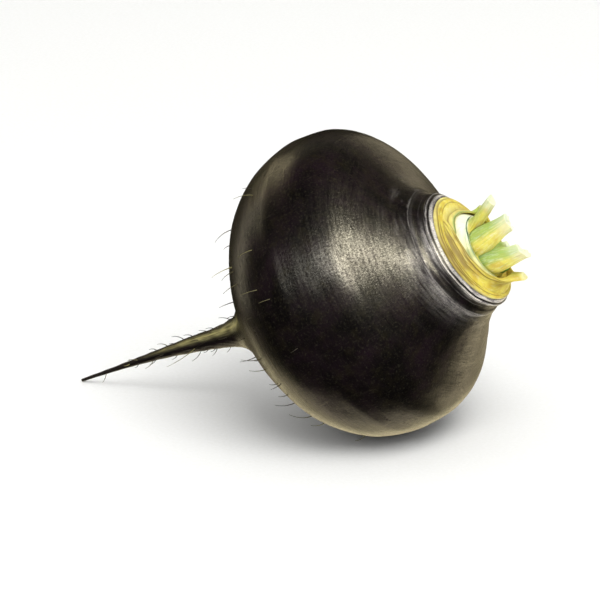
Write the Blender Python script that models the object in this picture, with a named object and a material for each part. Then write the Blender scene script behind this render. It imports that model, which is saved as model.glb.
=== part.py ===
"""A round black radish, lying on its belly with the crown raised and the taproot down.

Metres, +Z up. The origin is the centre of the small flat spot that the radish rests on.
The root is modelled upright, as it grows, and is then laid down by an empty.
"""

import math
import random

import bmesh
import bpy
from mathutils import Matrix, Vector

MM = 0.001

# How the radish lies
AXIS_TILT = math.radians(30.0)      # the root's axis rises this much towards the crown
CROWN_LIFT = math.radians(7.5)      # the collar faces this much higher than the axis
BELLY_CENTRE = Vector((-9.2 * MM, 0.0, 41.77 * MM))

# Root sizes
BODY_RADIUS = 45.0 * MM
SKIN_SEGMENTS = 48
LOBE = 0.010                        # how far from round the belly is

# Height along the axis and radius, as shares of the belly radius, from taproot to collar
ROOT_OUTLINE = [
    (-2.156, 0.010), (-1.860, 0.017), (-1.535, 0.034), (-1.270, 0.056), (-1.110, 0.069),
    (-0.990, 0.089), (-0.905, 0.123), (-0.832, 0.195), (-0.755, 0.305), (-0.670, 0.450),
    (-0.560, 0.637), (-0.420, 0.818), (-0.240, 0.942), (-0.050, 0.995), (0.060, 0.999),
    (0.230, 0.976), (0.375, 0.892), (0.490, 0.742), (0.590, 0.595), (0.675, 0.495),
    (0.735, 0.450),
]
# The ringed neck: height above the last outline point and radius, up to the collar's face
NECK_RINGS = [
    (0.9 * MM, 19.4 * MM), (1.9 * MM, 18.9 * MM), (2.9 * MM, 19.0 * MM), (3.5 * MM, 18.2 * MM),
    (4.2 * MM, 18.2 * MM), (4.9 * MM, 17.6 * MM), (5.3 * MM, 17.0 * MM),
]
OUTLINE_STEPS = 2                   # rings of faces between two outline points

# Sideways drift of the centre line: height and drift, both as shares of the belly radius.
# A negative drift is upwards as the root lies.
DRIFT = [(-2.156, -0.184), (-1.500, -0.121), (-1.000, -0.048), (-0.620, 0.011), (0.0, 0.0),
         (0.380, 0.011), (0.858, 0.091)]

# Rootlets
ROOTLET_COUNT = 44
ROOTLET_BASE_RADIUS = 0.42 * MM
ROOTLET_TIP_RADIUS = 0.16 * MM
ROOTLET_SUNK = 1.3 * MM
ROOTLET_SEED = 7

# Crown sizes in mm, in the collar's own frame: X is down the slope, Y away, Z out of the collar.
# Heights are from the collar's face. The whole crown leans down the slope as it rises.
SEAT_GAP = 0.35
CROWN_LEAN = 0.5                    # sideways shift per height
CROWN_LEAN_TOP = 5.0                # height up to which the crown leans
FLAT_BACK = 0.24                    # how much flatter the neck's and the crown's far side is
CROWN_OUTLINE = [                   # radius and height, from the seat to the middle of the top
    (16.3, SEAT_GAP), (16.7, 0.6), (16.3, 1.0), (15.3, 1.15), (10.9, 1.25), (10.5, 1.9),
    (9.95, 2.6), (9.5, 3.2), (9.0, 3.45), (4.0, 3.6), (2.2, 4.2), (1.0, 4.5),
]
CROWN_SEGMENTS = 40

# Clasping leaf feet, each with its stalk cut short. Azimuth of the stalk, and rows up the
# leaf: height, radius of the outer face from the leaning crown's middle, how many degrees
# the foot reaches clockwise and the other way, and thickness.
CLASPING_STALKS = {
    "leaf_stalk_1": (0.0, [
        (1.55, 14.75, 136, 48, 1.5), (2.1, 14.1, 137, 49, 1.4), (2.7, 13.45, 137, 49, 1.2),
        (3.1, 13.0, 133, 47, 1.0), (3.5, 12.6, 116, 40, 0.95), (3.9, 12.3, 80, 30, 0.95),
        (4.4, 12.05, 42, 20, 1.2), (5.0, 11.9, 18, 12, 1.9), (6.0, 12.1, 9.5, 9, 2.4),
        (7.2, 12.7, 8, 8, 2.4), (8.6, 13.4, 7.6, 7.6, 2.3),
    ]),
    "leaf_stalk_2": (185.0, [
        (1.65, 12.55, 150, 149, 1.2), (2.3, 12.0, 150, 150, 1.15), (3.0, 11.45, 149, 150, 1.05),
        (3.6, 10.9, 146, 147, 0.95), (4.0, 10.5, 138, 138, 0.85), (4.25, 10.3, 112, 112, 0.85),
        (4.45, 10.2, 72, 70, 0.95), (4.8, 10.1, 42, 40, 1.3), (5.4, 10.05, 26, 27, 2.0),
        (6.4, 10.15, 20, 21, 2.9), (7.8, 10.6, 17, 17.5, 3.4), (9.8, 11.3, 14.5, 14.5, 3.5),
        (12.0, 12.0, 12.8, 12.8, 3.4), (14.0, 12.6, 11.6, 11.6, 3.2),
    ]),
    "leaf_stalk_3": (145.0, [
        (1.55, 14.75, 92, 74, 1.5), (2.1, 14.1, 92, 74, 1.4), (2.7, 13.45, 91, 73, 1.2),
        (3.3, 12.8, 87, 70, 1.0), (3.9, 12.35, 76, 62, 0.95), (4.5, 12.0, 60, 50, 1.0),
        (5.0, 11.9, 42, 36, 1.1), (5.6, 11.95, 26, 23, 1.3), (6.4, 12.15, 15, 14, 1.6),
        (7.6, 12.5, 11, 11, 1.8),
    ]),
}
YELLOW_STALKS = ("leaf_stalk_1", "leaf_stalk_3")    # the two outer feet, which light never greened
CLASPING_ACROSS = 18                # outer faces across a clasping foot
LEAF_EDGE = 0.65                    # thickness of a foot's edge

# Stalks that stand on the crown's top: azimuth, distance from the leaning crown's middle,
# lean down the slope and away in degrees, width, thickness, height of the cut
STANDING_STALKS = {
    "leaf_stalk_4": (245.0, 6.5, -1.0, 5.0, 5.4, 3.3, 16.6),
    "leaf_stalk_5": (314.0, 6.7, 11.0, 9.0, 6.4, 3.5, 14.6),
    "leaf_stalk_6": (111.0, 6.3, -3.0, 2.0, 4.6, 2.4, 7.2),
    "leaf_stalk_7": (55.0, 6.7, 5.0, 2.0, 4.6, 2.4, 7.6),
    "leaf_stalk_8": (4.0, 7.6, 8.0, 0.0, 2.8, 1.8, 7.0),
}
STANDING_FOOT = 3.97                # height of their feet
STANDING_SIDES = 20
FOOT_WIDER = 0.22                   # how much wider the foot is than the cut
FOOT_BEND = 8.0                     # radius in mm that the foot's width bends round the crown
CHANNEL = 0.42                      # depth of the groove in a stalk's inner face, of its thickness


def wipe():
    """Removes what the file opened with."""
    for thing in list(bpy.data.objects):
        bpy.data.objects.remove(thing)


def material(name, colour, roughness):
    """A Principled material of one colour."""
    made = bpy.data.materials.new(name)
    made.use_nodes = True
    shader = made.node_tree.nodes["Principled BSDF"]
    shader.inputs["Base Color"].default_value = (*colour, 1.0)
    shader.inputs["Roughness"].default_value = roughness
    shader.inputs["Metallic"].default_value = 0.0
    return made


def add_object(name, mesh, made_of, parent=None):
    """An object of that mesh, smooth shaded, under a parent empty."""
    thing = bpy.data.objects.new(name, mesh)
    bpy.context.scene.collection.objects.link(thing)
    mesh.materials.append(made_of)
    mesh.shade_smooth()
    thing.parent = parent
    return thing


def add_empty(name, place, turn):
    """An empty that places what is parented to it."""
    empty = bpy.data.objects.new(name, None)
    bpy.context.scene.collection.objects.link(empty)
    empty.location = place
    empty.rotation_euler = turn
    return empty


def curve_through(points, steps):
    """Points on a smooth curve through the given ones, with steps pieces between two."""
    ends = [points[0], *points, points[-1]]
    found = []
    for i in range(1, len(ends) - 2):
        a, b, c, d = (Vector(p) for p in ends[i - 1:i + 3])
        for k in range(steps):
            t = k / steps
            found.append(
                0.5 * (2 * b + (c - a) * t + (2 * a - 5 * b + 4 * c - d) * t * t
                       + (3 * b - a - 3 * c + d) * t ** 3)
            )
    found.append(Vector(points[-1]))
    return [tuple(p) for p in found]


def value_at(points, x):
    """The smooth curve through (x, y) points, read at x."""
    fine = curve_through(points, 12)
    if x <= fine[0][0]:
        return fine[0][1]
    for (x0, y0), (x1, y1) in zip(fine, fine[1:]):
        if x <= x1:
            return y0 + (y1 - y0) * (x - x0) / max(x1 - x0, 1e-9)
    return fine[-1][1]


def smooth_step(low, high, x):
    """Rises from 0 at low to 1 at high with level ends."""
    t = min(max((x - low) / (high - low), 0.0), 1.0)
    return t * t * (3.0 - 2.0 * t)


def root_rings():
    """The root's rings from taproot tip to collar: (height, radius)."""
    shape = [(h * BODY_RADIUS, r * BODY_RADIUS) for h, r in ROOT_OUTLINE]
    rings = curve_through(shape, OUTLINE_STEPS)
    top = rings[-1][0]
    return rings + [(top + h, r) for h, r in NECK_RINGS]


def root_point(height, radius, angle):
    """A point on the root's skin, in the upright frame of the root."""
    share = height / BODY_RADIUS
    belly = math.exp(-(share / 0.55) ** 2)
    lobed = 1.0 + LOBE * belly * (math.cos(2 * angle + 0.6) + 0.6 * math.cos(3 * angle - 1.1))
    drift = value_at(DRIFT, share) * BODY_RADIUS
    lean = CROWN_LIFT * smooth_step(0.42 * BODY_RADIUS, 0.80 * BODY_RADIUS, height)
    x = radius * lobed * math.cos(angle)
    y = radius * lobed * math.sin(angle)
    if y > 0:
        y *= 1.0 - FLAT_BACK * smooth_step(0.45 * BODY_RADIUS, 0.74 * BODY_RADIUS, height)
    return Vector((drift + x * math.cos(lean), y, height + x * math.sin(lean)))


def skin(mesh_name, rings):
    """A closed mesh through rings of points, with both ends filled."""
    shape = bmesh.new()
    loops = [[shape.verts.new(p) for p in ring] for ring in rings]
    count = len(loops[0])
    for low, high in zip(loops, loops[1:]):
        for i in range(count):
            j = (i + 1) % count
            shape.faces.new((low[i], low[j], high[j], high[i]))
    for loop in (loops[0], loops[-1]):
        middle = shape.verts.new(sum((v.co for v in loop), Vector()) / count)
        for i in range(count):
            shape.faces.new((loop[i], loop[(i + 1) % count], middle))
    bmesh.ops.recalc_face_normals(shape, faces=shape.faces)
    mesh = bpy.data.meshes.new(mesh_name)
    shape.to_mesh(mesh)
    shape.free()
    return mesh


def make_root_body():
    """The root's own skin without rootlets, as a mesh."""
    rings = []
    for height, radius in root_rings():
        rings.append([
            root_point(height, radius, 2 * math.pi * i / SKIN_SEGMENTS)
            for i in range(SKIN_SEGMENTS)
        ])
    return skin("root", rings)


def rootlet_mesh(start, out, along, length, thick):
    """One rootlet: a three-sided needle that leaves the skin and bends along the taproot."""
    side = out.cross(along).normalized()
    path = []
    for share in (-ROOTLET_SUNK / length, 0.0, 0.4, 0.75, 1.0):
        bend = max(share, 0.0) ** 2
        path.append(start + length * (out * (0.8 * share - 0.2 * bend)
                                      + along * (0.35 * share + 0.3 * bend)))
    rings = []
    for k, point in enumerate(path):
        ahead = (path[min(k + 1, 4)] - path[max(k - 1, 0)]).normalized()
        across = ahead.cross(side).normalized()
        radius = thick + (ROOTLET_TIP_RADIUS - thick) * max(k - 1, 0) / 3.0
        rings.append([
            point + radius * (math.cos(a) * side + math.sin(a) * across)
            for a in (0.0, 2 * math.pi / 3, 4 * math.pi / 3)
        ])
    return skin("rootlet", rings)


def rootlet_places(lay_down):
    """Where rootlets grow: the lower half of the belly and the taproot, on all sides."""
    chance = random.Random(ROOTLET_SEED)
    rings = root_rings()
    outline = [(h, r) for h, r in rings if h < 0.5 * BODY_RADIUS]
    found = []
    for n in range(ROOTLET_COUNT):
        share = (n + 0.5) / ROOTLET_COUNT
        height = BODY_RADIUS * (0.12 - 1.87 * share ** 0.85) + chance.uniform(-1.2, 1.2) * MM
        angle = 2.399963 * n + chance.uniform(-0.35, 0.35)
        length = chance.uniform(4.2, 8.0) * MM * (1.0 - 0.45 * share)
        radius = value_at(outline, height)
        step = 0.4 * MM
        start = root_point(height, radius, angle)
        above = root_point(height + step, value_at(outline, height + step), angle)
        beside = root_point(height, radius, angle + 0.02)
        along = (start - above).normalized()
        out = (beside - start).cross(above - start).normalized()
        thick = min(ROOTLET_BASE_RADIUS, 0.35 * radius)
        tip = lay_down @ (start + length * (0.65 * out + 0.65 * along))
        root = lay_down @ start
        if min(tip.z, root.z) > 1.6 * MM:
            found.append((start, out, along, length, thick))
    return found


def make_root(frame, skin_black):
    """The root with its rootlets joined in, and its flat spot cut."""
    root = add_object("root", make_root_body(), skin_black, frame)
    rootlets = bpy.data.collections.new("rootlets")
    bpy.context.scene.collection.children.link(rootlets)
    for place in rootlet_places(frame.matrix_world):
        mesh = rootlet_mesh(*place)
        rootlet = bpy.data.objects.new("rootlet", mesh)
        rootlet.parent = frame
        rootlets.objects.link(rootlet)
    join = root.modifiers.new("join rootlets", "BOOLEAN")
    join.operation = "UNION"
    join.operand_type = "COLLECTION"
    join.collection = rootlets
    join.solver = "EXACT"
    apply_modifiers(root)
    for rootlet in list(rootlets.objects):
        bpy.data.objects.remove(rootlet)
    bpy.data.collections.remove(rootlets)

    ground = bmesh.new()
    bmesh.ops.create_cube(ground, size=0.4, matrix=Matrix.Translation((0.0, 0.0, -0.2)))
    mesh = bpy.data.meshes.new("ground_cutter")
    ground.to_mesh(mesh)
    ground.free()
    cutter = bpy.data.objects.new("ground_cutter", mesh)
    bpy.context.scene.collection.objects.link(cutter)
    cutter.hide_render = True
    cutter.display_type = "WIRE"
    flat = root.modifiers.new("flat spot", "BOOLEAN")
    flat.operation = "DIFFERENCE"
    flat.object = cutter
    flat.solver = "EXACT"
    return root


def apply_modifiers(thing):
    """Replaces the object's mesh by what its modifiers make of it."""
    bpy.context.view_layer.update()
    graph = bpy.context.evaluated_depsgraph_get()
    mesh = bpy.data.meshes.new_from_object(thing.evaluated_get(graph))
    thing.modifiers.clear()
    thing.data = mesh


def crown_point(radius, azimuth, height):
    """A point of the leaning crown, in the collar's frame."""
    middle = CROWN_LEAN * min(height, CROWN_LEAN_TOP)
    y = radius * math.sin(azimuth)
    if y > 0:
        y *= 1.0 - FLAT_BACK
    return Vector((middle + radius * math.cos(azimuth), y, height)) * MM


def make_crown_stem(frame, flesh_yellow):
    """The short stem on the collar, turned from its outline and leaning as it rises."""
    rings = []
    for radius, height in CROWN_OUTLINE:
        rings.append([
            crown_point(radius, 2 * math.pi * i / CROWN_SEGMENTS, height)
            for i in range(CROWN_SEGMENTS)
        ])
    return add_object("crown_stem", skin("crown_stem", rings), flesh_yellow, frame)


def strip_mesh(mesh_name, rows):
    """A closed mesh from rows of (outer points, inner points) up a leaf foot and stalk."""
    shape = bmesh.new()
    outer = [[shape.verts.new(p) for p in row[0]] for row in rows]
    inner = [[shape.verts.new(p) for p in row[1]] for row in rows]
    last = len(outer[0]) - 1
    for k in range(len(rows) - 1):
        for i in range(last):
            shape.faces.new((outer[k][i], outer[k][i + 1], outer[k + 1][i + 1], outer[k + 1][i]))
            shape.faces.new((inner[k][i + 1], inner[k][i], inner[k + 1][i], inner[k + 1][i + 1]))
        for i in (0, last):
            shape.faces.new((inner[k][i], outer[k][i], outer[k + 1][i], inner[k + 1][i]))
    for k in (0, len(rows) - 1):
        for i in range(last):
            shape.faces.new((outer[k][i], inner[k][i], inner[k][i + 1], outer[k][i + 1]))
    bmesh.ops.recalc_face_normals(shape, faces=shape.faces)
    mesh = bpy.data.meshes.new(mesh_name)
    shape.to_mesh(mesh)
    shape.free()
    return mesh


def clasping_stalk(name, form, frame, made_of):
    """A leaf foot that holds the crown round most of its side, and narrows into its stalk."""
    azimuth, leaf_rows = form
    rows = []
    for height, radius, clockwise, other_way, thick in leaf_rows:
        outer, inner = [], []
        for i in range(CLASPING_ACROSS + 1):
            u = 2.0 * i / CLASPING_ACROSS - 1.0
            angle = math.radians(azimuth + u * (clockwise if u < 0 else other_way))
            wall = LEAF_EDGE + (thick - LEAF_EDGE) * math.sqrt(max(1.0 - abs(u) ** 3, 0.0))
            outer.append(crown_point(radius, angle, height))
            inner.append(crown_point(radius - wall, angle, height))
        rows.append((outer, inner))
    return add_object(name, strip_mesh(name, rows), made_of, frame)


def standing_stalk(name, form, frame, made_of):
    """A stalk with a groove down its inner face, which stands on the crown's top."""
    azimuth, distance, lean_x, lean_y, width, thick, cut = form
    facing = math.radians(azimuth)
    out = Vector((math.cos(facing), math.sin(facing), 0.0))
    across = Vector((-math.sin(facing), math.cos(facing), 0.0))
    foot = crown_point(distance, facing, STANDING_FOOT)
    slope = Vector((math.tan(math.radians(lean_x)), math.tan(math.radians(lean_y)), 1.0))
    rings = []
    for share in (0.0, 0.2, 0.45, 0.72, 1.0):
        middle = foot + slope * (cut - STANDING_FOOT) * share * MM
        wider = 1.0 + FOOT_WIDER * (1.0 - share) ** 2
        half = width * wider / 2.0 * MM
        deep = thick * wider / 2.0 * MM
        ring = []
        for i in range(STANDING_SIDES):
            a = 2 * math.pi * i / STANDING_SIDES
            aside = half * math.sin(a)
            outwards = deep * math.cos(a) - aside ** 2 / (2.0 * FOOT_BEND * MM)
            if math.cos(a) < 0:
                outwards += CHANNEL * deep * math.exp(-(math.sin(a) / 0.45) ** 2)
            ring.append(middle + across * aside + out * outwards)
        rings.append(ring)
    return add_object(name, skin(name, rings), made_of, frame)


def main():
    """Builds the radish."""
    wipe()
    skin_black = material("black skin", (0.012, 0.010, 0.009), 0.5)
    flesh_yellow = material("yellow crown flesh", (0.62, 0.48, 0.10), 0.5)
    stalk_green = material("pale green stalk", (0.50, 0.58, 0.16), 0.45)

    lay_down = add_empty("root_frame", BELLY_CENTRE, (0.0, math.pi / 2 - AXIS_TILT, 0.0))
    bpy.context.view_layer.update()
    make_root(lay_down, skin_black)

    top = root_rings()[-1][0]
    collar = lay_down.matrix_world @ root_point(top, 0.0, 0.0)
    turn = math.pi / 2 - AXIS_TILT - CROWN_LIFT
    crown = add_empty("crown_frame", collar, (0.0, turn, 0.0))
    make_crown_stem(crown, flesh_yellow)
    for name, form in CLASPING_STALKS.items():
        clasping_stalk(name, form, crown, flesh_yellow if name in YELLOW_STALKS else stalk_green)
    for name, form in STANDING_STALKS.items():
        standing_stalk(name, form, crown, stalk_green)


main()
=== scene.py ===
import math
import random

import bpy
import numpy as np
from mathutils import Matrix, Vector


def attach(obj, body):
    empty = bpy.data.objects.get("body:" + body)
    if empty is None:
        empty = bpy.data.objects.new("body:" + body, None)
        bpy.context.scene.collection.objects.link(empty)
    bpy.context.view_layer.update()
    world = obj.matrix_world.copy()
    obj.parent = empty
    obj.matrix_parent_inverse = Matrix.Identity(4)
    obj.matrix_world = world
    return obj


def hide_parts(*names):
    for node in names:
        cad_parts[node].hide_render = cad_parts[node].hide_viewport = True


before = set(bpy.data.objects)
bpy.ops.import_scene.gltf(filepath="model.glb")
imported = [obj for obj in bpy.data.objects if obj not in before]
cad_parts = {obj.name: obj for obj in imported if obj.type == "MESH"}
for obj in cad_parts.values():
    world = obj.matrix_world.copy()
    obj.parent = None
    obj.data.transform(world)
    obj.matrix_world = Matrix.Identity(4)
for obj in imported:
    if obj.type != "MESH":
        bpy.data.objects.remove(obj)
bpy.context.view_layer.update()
print("frame loaded with", len(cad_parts), "CAD nodes")

mm = 0.001  # every size below is in millimetres and becomes metres in placePiece


# Shapes as arrays

def smoothStep(low, high, x):
    # Rises from 0 at low to 1 at high, level at both ends: 3t^2 - 2t^3
    t = np.clip((x - low) / (high - low), 0, 1)
    return t * t * (3 - 2 * t)


def hump(x, middle, width):
    # A bell of height 1 at the middle that falls to 0.37 at width to either side
    return np.exp(-((x - middle) / width) ** 2)


def overArc(degrees, low, high, soft):
    # 1 between two angles and 0 outside them, with soft ends
    return smoothStep(low - soft, low + soft, degrees) * (1 - smoothStep(high - soft, high + soft, degrees))


def lessNear(x, middle, width, share):
    # 1 far away, less by that share at the middle
    return 1 - share * hump(x, middle, width)


def mostNear(x, middle, width, least):
    # 1 at the middle, falling to the least far away
    return least + (1 - least) * hump(x, middle, width)


def turns(count):
    # That many angles once round, as one row
    return 2 * math.pi * np.arange(count)[None, :] / count


def joined(*parts):
    # Arrays side by side, such as x, y and z, as one array
    return np.stack(np.broadcast_arrays(*parts), axis=-1)


def unit(ways):
    return ways / np.maximum(np.linalg.norm(ways, axis=-1, keepdims=True), 1e-9)


def curveThrough(points, steps):
    # Catmull-Rom curve: between b and c it is the cubic whose slopes there are half of c - a and half of d - b
    p = np.asarray(points, float)
    p = np.vstack([p[:1], p, p[-1:]])
    a, b, c, d = (p[k:len(p) - 3 + k, None, :] for k in range(4))
    t = (np.arange(steps) / steps)[None, :, None]
    cubic = 0.5 * (2 * b + (c - a) * t + (2 * a - 5 * b + 4 * c - d) * t ** 2 + (3 * b - a - 3 * c + d) * t ** 3)
    return np.vstack([cubic.reshape(-1, p.shape[1]), p[-1:]])


def readCurve(points, x):
    # The smooth curve through (x, y) points, read at x
    fine = curveThrough(points, 12)
    return np.interp(x, fine[:, 0], fine[:, 1])


def swell(points, size, seed):
    # Soft bumps from about -1 to 1: the mean of eight sine waves near that length, each in a direction of its own.
    # The seed is a fixed number at each call, so that a shape is the same on every run.
    chance = np.random.default_rng(seed)
    ways = chance.normal(size=(8, 3))
    ways *= 2 * math.pi / (size * chance.uniform(0.7, 1.4, (8, 1)) * np.linalg.norm(ways, axis=1, keepdims=True))
    return 1.7 * np.sin(points @ ways.T + chance.uniform(0, 2 * math.pi, 8)).mean(axis=-1)


def turnAndPlace(points, turn, place):
    # Turns points about the Y axis, then moves them
    c, s = math.cos(turn), math.sin(turn)
    x, y, z = points[..., 0], points[..., 1], points[..., 2]
    return joined(c * x + s * z, y, c * z - s * x) + np.asarray(place, float)


def quadsRound(here):
    # Quads between neighbouring rows of point numbers, closed round each row
    beside = np.roll(here, -1, axis=-1)
    return joined(here[..., :-1, :], beside[..., :-1, :], beside[..., 1:, :], here[..., 1:, :]).reshape(-1, 4)


def placePiece(name, points, faces, made, nodes=(), marks=None):
    # One finished mesh: its marks become attributes that the materials read
    mesh = bpy.data.meshes.new(name)
    mesh.from_pydata((points.reshape(-1, 3) * mm).tolist(), [], faces)
    for mark, values in (marks or {}).items():
        wide = np.ndim(values) == 3
        kept = mesh.attributes.new(mark, "FLOAT_VECTOR" if wide else "FLOAT", "POINT")
        kept.data.foreach_set("vector" if wide else "value", np.ascontiguousarray(values, np.float32).ravel())
    mesh.materials.append(made)
    mesh.shade_smooth()
    piece = bpy.data.objects.new(name, mesh)
    bpy.context.scene.collection.objects.link(piece)
    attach(piece, "root")
    if nodes:
        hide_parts(*nodes)
    print(name, "has", len(mesh.polygons), "faces")


def gridObject(name, points, made, nodes, marks):
    # Rows of points joined into a closed skin. The first and last rows are closed by strips that join point i to
    # point n - 1 - i. Faces are turned about where their signed volume is negative.
    rows, across = points.shape[:2]
    i = np.arange(across // 2 - 1)
    lid = joined(i, across - 1 - i, across - 2 - i, i + 1)
    sides = quadsRound(np.arange(rows * across).reshape(rows, across))
    faces = np.vstack([sides, lid, (rows - 1) * across + lid[:, ::-1]])
    flat = points.reshape(-1, 3)
    a, b, c, d = (flat[faces[:, k]] for k in range(4))
    if (a * (np.cross(b, c) + np.cross(c, d))).sum() < 0:
        faces = faces[:, ::-1]
    placePiece(name, points, faces.tolist(), made, nodes, marks)


# Materials as nodes

def colour(code):
    # An sRGB hex value turned linear
    parts = [int(code[k:k + 2], 16) / 255 for k in (1, 3, 5)]
    return (*(p / 12.92 if p <= 0.04045 else ((p + 0.055) / 1.055) ** 2.4 for p in parts), 1)


def addNode(tree, kind, settings=None, values=None, links=None, stops=()):
    # One node with its settings, its sockets' own values, its links as (node, output), and a ramp's stops
    node = tree.nodes.new(kind)
    for key, value in (settings or {}).items():
        setattr(node, key, value)
    for key, value in (values or {}).items():
        node.inputs[key].default_value = value
    for key, (source, output) in (links or {}).items():
        tree.links.new(source.outputs[output], node.inputs[key])
    for n, (at, code) in enumerate(stops):
        stop = node.color_ramp.elements[n] if n < 2 else node.color_ramp.elements.new(at)
        stop.position = at
        stop.color = colour(code)
    return node


# Each of these adds one node and gives back (node, output), ready to be linked

def markNode(tree, name, output="Fac"):
    return addNode(tree, "ShaderNodeAttribute", {"attribute_name": name}), output


def noiseAt(tree, place, size, detail, roughness=0.5):
    # Fractal noise read at a place, with features of about that size, or of one size along each axis
    if isinstance(size, tuple):
        shrunk = addNode(tree, "ShaderNodeMapping", None, {"Scale": tuple(1 / part for part in size)},
                         {"Vector": place})
        place, size = (shrunk, "Vector"), 1
    return addNode(tree, "ShaderNodeTexNoise", None, {"Scale": 1 / size, "Detail": detail, "Roughness": roughness},
                   {"Vector": place}), "Fac"


def remap(tree, source, spans):
    # Carries a value from the first two bounds to the last two, and holds it there
    return addNode(tree, "ShaderNodeMapRange", None, dict(zip((1, 2, 3, 4), spans)), {0: source}), 0


def combine(tree, operation, sources, values=None, clamped=False):
    return addNode(tree, "ShaderNodeMath", {"operation": operation, "use_clamp": clamped}, values, sources), 0


def ramp(tree, source, stops):
    return addNode(tree, "ShaderNodeValToRGB", None, None, {"Fac": source}, stops), "Color"


def layOver(tree, under, code, share):
    # Lays one colour over a node's colour, by a share from 0 to 1
    return addNode(tree, "ShaderNodeMix", {"data_type": "RGBA"}, {7: colour(code)}, {0: share, 6: under}), 2


def bumps(tree, source, height, links=None):
    return addNode(tree, "ShaderNodeBump", None, {"Strength": 1, "Distance": height * mm},
                   {"Height": source, **(links or {})}), "Normal"


def newMaterial(name):
    made = bpy.data.materials.new(name)
    made.use_nodes = True
    made.node_tree.nodes.clear()
    return made, made.node_tree


def finishMaterial(made, tree, values, links):
    shader = addNode(tree, "ShaderNodeBsdfPrincipled", None, values, links)
    addNode(tree, "ShaderNodeOutputMaterial", None, None, {"Surface": (shader, "BSDF")})
    return made


skinFinish = {
    "black": "#080607",  # darkest cork
    "purple": "#180e15",  # purple-brown patches
    "olive": "#221e0f",  # olive-brown patches
    "grain": "#302d23",  # worn tops of the grain
    "scratch": "#38352b",
    "paleCork": "#e6e1de",  # young cork on the collar's ridges
    "corkShade": "#8a8486",
    "paintedTailHighlight": "#a19a66",  # painted highlight along the taproot's upper flank, in pale olive
    "shine": "#f2e9c8",
    "dustColour": "#cfc08c",
    "patchSize": 11, "oliveSize": 4,
    "grainSize": 0.65, "waxSize": 0.6,  # a little coarser than the real grain, so that they show
    "streakSize": (12, 12, 0.75),  # round the root both ways, and along it
    "scratchSize": (11, 11, 0.38),
    "scratchTurn": (0, 0.642, 2.938),  # radians, so that they rise to the right across the shine
    "patchStops": (0.42, 0.66), "corkStops": (0.36, 0.52),
    # From two values of a noise to two shares
    "oliveShare": (0.5, 0.74, 0, 0.6),
    "grainShare": (0.54, 0.74, 0, 0.65),
    "scratchShare": (0.68, 0.8, 0, 0.3),
    "paleBreak": (0.36, 0.64, 0.45, 1.5),
    "roughness": (0.75, 1.25, 0.27, 0.44),
    "wax": (0.6, 0.9, 0, 0.38),  # to the waxy film's weight in the grain's pits and on its tops
    "waxOnStreaks": 0.5, "waxOnScratches": 0.8,
    "waxRoughness": 0.27,
    "shineUnderWax": 0.03,
    "dust": 0.05, "dustRoughness": 0.35,  # the dusty cork's sheen, seen along the outline
    "grainHeight": 0.05, "streakHeight": 0.05,
}


def corkyBlackSkin(s):
    # Black radish skin: a thin dry cork that grew in rings. It gives the eye a deep brown-black with a broad,
    # broken shine, fine grain, and streaks round the root where the cork stretched.
    # The pale olive on the taproot's upper flank and the pale patches on the neck are painted highlights.
    made, tree = newMaterial("corky black radish skin")
    place, pale, paintedTailHighlight = markNode(tree, "skinPlace", "Vector"), markNode(tree, "paleRingsAndHighlights"), markNode(tree, "tailHighlightShare")
    patches = noiseAt(tree, place, s["patchSize"], 4, 0.6)
    olives = noiseAt(tree, place, s["oliveSize"], 5, 0.7)
    grain = noiseAt(tree, place, s["grainSize"], 3, 0.65)
    waxNoise = noiseAt(tree, place, s["waxSize"], 3, 0.8)
    streaks = noiseAt(tree, place, s["streakSize"], 4, 0.6)
    slanted = addNode(tree, "ShaderNodeMapping", {"vector_type": "TEXTURE"},
                      {"Rotation": s["scratchTurn"], "Scale": tuple(part * mm for part in s["scratchSize"])},
                      {"Vector": (addNode(tree, "ShaderNodeTexCoord"), "Object")})
    scratches = noiseAt(tree, (slanted, "Vector"), 1, 1)

    # Cork colours, from the broad patches to the fine marks
    tone = ramp(tree, patches, list(zip(s["patchStops"], (s["black"], s["purple"]))))
    tone = layOver(tree, tone, s["olive"], remap(tree, olives, s["oliveShare"]))
    tone = layOver(tree, tone, s["grain"], remap(tree, grain, s["grainShare"]))
    scratchShare = remap(tree, scratches, s["scratchShare"])
    tone = layOver(tree, tone, s["scratch"], scratchShare)
    # Painted highlight: pale olive along the taproot's upper flank
    tone = layOver(tree, tone, s["paintedTailHighlight"], combine(tree, "MULTIPLY", {0: paintedTailHighlight, 1: olives}))

    # Pale cork on the ridges, and painted highlights on the neck, broken up by the same grain as the wax
    cork = ramp(tree, streaks, list(zip(s["corkStops"], (s["corkShade"], s["paleCork"]))))
    grainyPale = combine(tree, "MULTIPLY", {0: pale, 1: remap(tree, waxNoise, s["paleBreak"])}, clamped=True)
    tone = addNode(tree, "ShaderNodeMix", {"data_type": "RGBA"}, None, {0: grainyPale, 6: tone, 7: cork}), 2

    roughness = remap(tree, combine(tree, "ADD", {0: streaks, 1: grain}), s["roughness"])
    streakBump = bumps(tree, streaks, s["streakHeight"])
    grainBump = bumps(tree, grain, s["grainHeight"], {"Normal": streakBump})

    # The skin's own thin wax lies on the tops of grain and streaks, is worn out of the pits, and catches in scratches
    waxStreaks = combine(tree, "MULTIPLY", {0: streaks}, {1: s["waxOnStreaks"]})
    wax = remap(tree, combine(tree, "ADD", {0: waxNoise, 1: waxStreaks}), s["wax"])
    wax = combine(tree, "MULTIPLY_ADD", {0: scratchShare, 2: wax}, {1: s["waxOnScratches"]})
    return finishMaterial(
        made, tree,
        {"IOR": 1.5, "Specular IOR Level": s["shineUnderWax"], "Coat Roughness": s["waxRoughness"],
         "Coat Tint": colour(s["shine"]), "Sheen Weight": s["dust"], "Sheen Roughness": s["dustRoughness"],
         "Sheen Tint": colour(s["dustColour"])},
        {"Base Color": tone, "Roughness": roughness, "Normal": grainBump, "Coat Weight": wax,
         "Coat Normal": grainBump})


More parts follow.
